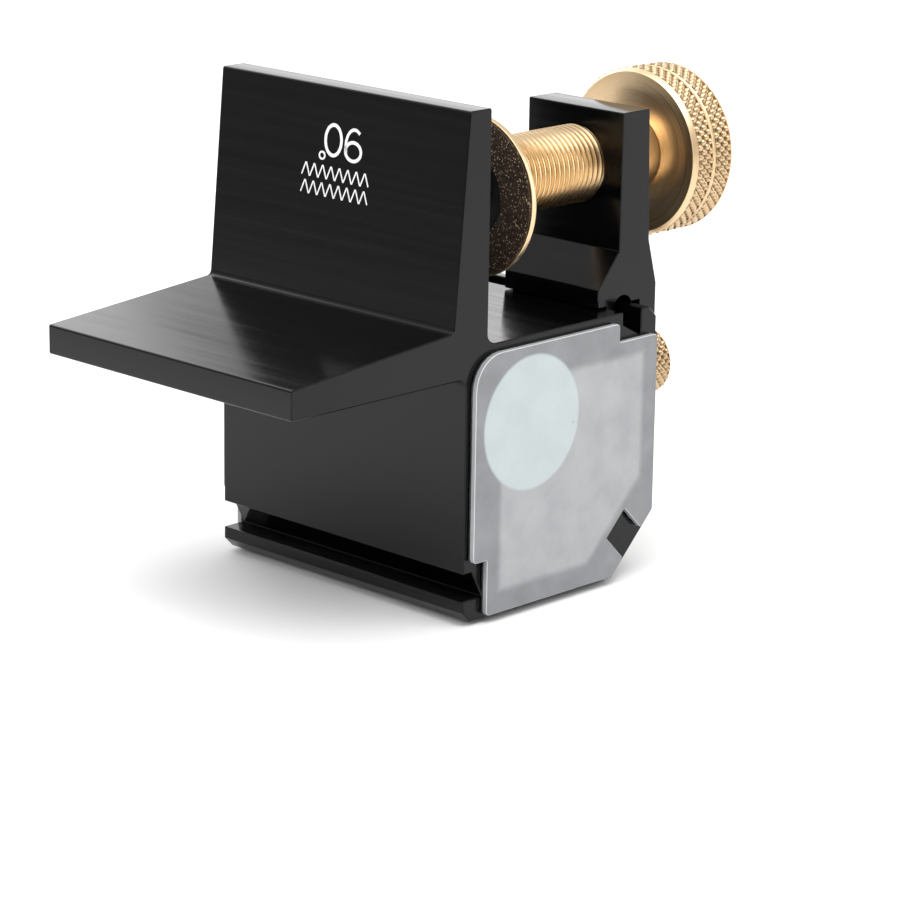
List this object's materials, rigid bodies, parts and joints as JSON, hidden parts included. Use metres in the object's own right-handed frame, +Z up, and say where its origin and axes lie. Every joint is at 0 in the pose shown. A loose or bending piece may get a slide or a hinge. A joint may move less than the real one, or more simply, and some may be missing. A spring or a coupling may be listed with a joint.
{
  "type": "dovetail jig",
  "caption": "Saw guide for square shoulder cuts, with fence, shelf, magnetic slip pads and a sliding screw clamp.",
  "frame": {"origin": "middle of the box section's underside", "axes": "+X from the shelf towards the clamp knob, +Y along the extrusion away from the clamp bracket's end, +Z up along the fence"},
  "size_m": [0.0902, 0.0522, 0.0732],
  "materials": {
    "anodised": "black anodised, satin with fine mill lines",
    "frosted": "frosted translucent low-friction plastic",
    "glue": "clear double-sided film",
    "magnet": "nickel plated",
    "brass": "turned and polished",
    "grit": "coarse mineral grit on a brown backing",
    "black_steel": "black oxide",
    "black_plastic": "matte black moulded plastic",
    "bronze": "plain bearing bronze",
    "nylon": "natural nylon"
  },
  "bodies": {
    "guide": {"guide_body": "anodised", "pad_glue_near": "glue", "pad_glue_far": "glue", "slip_pad_near": "frosted", "slip_pad_far": "frosted", "magnet_near": "magnet", "magnet_far": "magnet"},
    "bracket": {"clamp_bracket": "anodised"},
    "presser": {"pressure_disc": "brass", "grip_facing": "grit", "disc_bush": "black_plastic"},
    "screw": {"clamp_screw": "brass", "clamp_knob": "brass", "disc_screw": "black_steel", "thrust_washer": "bronze"},
    "lock_pad": {"lock_tip": "nylon"},
    "lock_screw": {"lock_stud": "brass", "lock_knob": "brass"}
  },
  "joints": [
    {"name": "bracket_slide", "type": "slide", "parent": "guide", "child": "bracket", "axis": [0, 1, 0], "range_m": [-0.0036, 0.0278]},
    {"name": "clamp_travel", "type": "slide", "parent": "bracket", "child": "presser", "axis": [1, 0, 0], "range_m": [-0.0055, 0.018]},
    {"name": "clamp_turn", "type": "hinge", "parent": "presser", "child": "screw", "pos_m": [-0.02, -0.0121, 0.05975], "axis": [1, 0, 0], "range_deg": [-1980.01, 6480.01]},
    {"name": "lock_travel", "type": "slide", "parent": "bracket", "child": "lock_pad", "axis": [1, 0, 0], "range_m": [-0.00025, 0.0021]},
    {"name": "lock_turn", "type": "hinge", "parent": "lock_pad", "child": "lock_screw", "pos_m": [-0.02, -0.0121, 0.0273], "axis": [1, 0, 0], "range_deg": [-130, 1082]}
  ],
  "couplings": [
    {"joint": "clamp_turn", "follows": "clamp_travel", "rad_per_m": 6283.2},
    {"joint": "lock_turn", "follows": "lock_travel", "rad_per_m": 8976}
  ]
}
